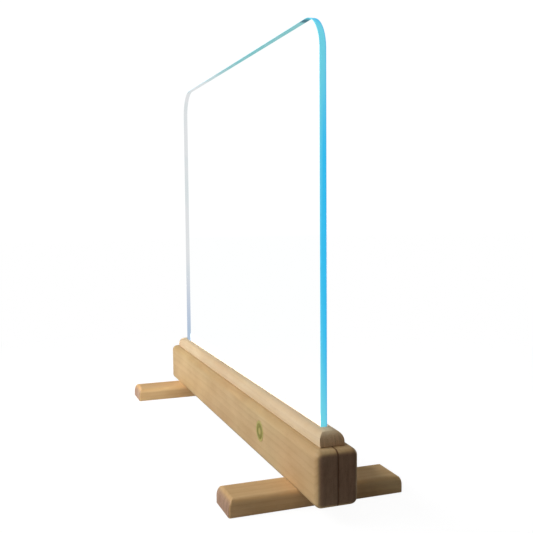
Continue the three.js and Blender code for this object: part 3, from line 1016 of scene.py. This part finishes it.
def floor_material():
    """White to the eye, with faint shadows, and with a bounce of its own."""
    stage = bpy.context.scene.guard_stage
    material, graph, shader, output = start_material("Pale floor")
    position = graph.add("ShaderNodeTexCoord").outputs["Object"]
    tooth = graph.noise(position, (260, 260, 260), 3.0)
    graph.feed(shader.inputs["Roughness"], graph.math("MULTIPLY_ADD", tooth, 0.1, 0.8))
    bounce = stage.floor_bounce
    shader.inputs["Base Color"].default_value = (bounce, bounce, bounce, 1)
    shader.inputs["Specular IOR Level"].default_value = 0.0
    shadow_end, shadow_start, shadow_gain = 0.75, 0.35, 2.2
    near = graph.fit(graph.vector("LENGTH", position), shadow_end, shadow_start, 0.0, stage.floor_depth)
    level = graph.math("MULTIPLY", near, shadow_gain)
    lit = graph.add("ShaderNodeCombineColor", {0: level, 1: level, 2: level})
    dim = graph.add("ShaderNodeBsdfDiffuse", {"Color": lit.outputs[0]}).outputs[0]
    white = graph.add("ShaderNodeEmission", {"Strength": graph.math("SUBTRACT", 1.0, near)}).outputs[0]
    seen = graph.add("ShaderNodeAddShader", {0: dim, 1: white}).outputs[0]
    mixed = graph.add("ShaderNodeMixShader", {0: seen_sharply(graph), 1: shader.outputs[0], 2: seen})
    graph.feed(output.inputs["Surface"], mixed.outputs[0])
    return material


def set_world():
    """White all round to the eye and in reflections, and dimmer as a fill light."""
    stage = bpy.context.scene.guard_stage
    world = bpy.data.worlds.new("White studio")
    bpy.context.scene.world = world
    world.use_nodes = True
    world.node_tree.nodes.clear()
    graph = Graph(world.node_tree)
    upward = graph.parts(graph.add("ShaderNodeTexCoord").outputs["Generated"])[2]
    fill = graph.fit(upward, 0.0, 1.0, stage.fill * stage.fill_level, stage.fill)
    strength = graph.add("ShaderNodeMix", {0: seen_sharply(graph), 2: fill, 3: SEEN_WHITE}).outputs[0]
    background = graph.add("ShaderNodeBackground", {"Color": (1, 1, 1, 1), "Strength": strength})
    graph.add("ShaderNodeOutputWorld", {"Surface": background.outputs[0]})


def add_soft_lamp(name, place, target, width, height, power):
    lamp = bpy.data.lights.new(name, "AREA")
    lamp.shape, lamp.size, lamp.size_y, lamp.energy = "RECTANGLE", width, height, power
    holder = bpy.data.objects.new(name, lamp)
    holder.location = place
    holder.rotation_euler = (Vector(target) - Vector(place)).to_track_quat("-Z", "Y").to_euler()
    bpy.context.scene.collection.objects.link(holder)
    return holder


class GUARD_OT_stage(bpy.types.Operator):
    """Set up the floor, the lamps and the camera"""

    bl_idname = "guard.stage"
    bl_label = "Studio"

    def execute(self, context):
        stage = context.scene.guard_stage
        corners = square_outline((0, 0), (0, 0), FLOOR_REACH)
        floor_mesh = bpy.data.meshes.new("Floor")
        floor_mesh.from_pydata([(x, y, 0) for x, y in corners[::2]], [], [(0, 1, 2, 3)])
        floor_mesh.materials.append(floor_material())
        floor = bpy.data.objects.new("Floor", floor_mesh)
        context.scene.collection.objects.link(floor)
        set_world()
        reflector = add_soft_lamp("Reflector", *REFLECTOR, stage.reflector_power)
        reflector.data.spread = REFLECTOR_SPREAD
        add_soft_lamp("Side lamp", *SIDE_LAMP, stage.side_power)
        add_soft_lamp("Back lamp", *BACK_LAMP, stage.back_power)
        target = (stage.key_place[0], 0, KEY_AIM)
        add_soft_lamp("Key", stage.key_place, target, *KEY_SIZE, stage.key_power)
        lens = bpy.data.cameras.new("Camera")
        lens.sensor_width, lens.lens = 36, stage.camera_lens
        camera = bpy.data.objects.new("Camera", lens)
        turn = Matrix.Rotation(stage.camera_turn, 4, "Z")
        dip = Matrix.Rotation(math.pi / 2 - stage.camera_dip, 4, "X")
        roll = Matrix.Rotation(stage.camera_roll, 4, "Z")
        camera.matrix_world = Matrix.Translation(stage.camera_place) @ turn @ dip @ roll
        context.scene.collection.objects.link(camera)
        context.scene.camera = camera
        context.scene.view_settings.view_transform = "Standard"
        return {"FINISHED"}


class GUARD_PT_builder(bpy.types.Panel):
    """Buttons for each group of pieces"""

    bl_label = "Sneeze guard"
    bl_idname = "GUARD_PT_builder"
    bl_space_type = "VIEW_3D"
    bl_region_type = "UI"
    bl_category = "Sneeze guard"

    def draw(self, context):
        for operator in OPERATORS:
            self.layout.operator(operator.bl_idname)


OPERATORS = (
    GUARD_OT_stage,
    GUARD_OT_boards,
    GUARD_OT_cap,
    GUARD_OT_feet,
    GUARD_OT_clear_panel,
    GUARD_OT_dowels,
    GUARD_OT_screws,
    GUARD_OT_pads,
    GUARD_OT_disc,
)
SETTINGS = {"guard_shape": GuardShape, "guard_finish": GuardFinish, "guard_stage": GuardStage}


def register():
    for kind in (*SETTINGS.values(), *OPERATORS, GUARD_PT_builder):
        bpy.utils.register_class(kind)
    for name, kind in SETTINGS.items():
        setattr(bpy.types.Scene, name, PointerProperty(type=kind))


def unregister():
    for name in SETTINGS:
        delattr(bpy.types.Scene, name)
    for kind in (GUARD_PT_builder, *reversed(OPERATORS), *SETTINGS.values()):
        bpy.utils.unregister_class(kind)


def main():
    register()
    for operator in OPERATORS:
        group, name = operator.bl_idname.split(".")
        getattr(getattr(bpy.ops, group), name)()


if __name__ == "__main__":
    main()
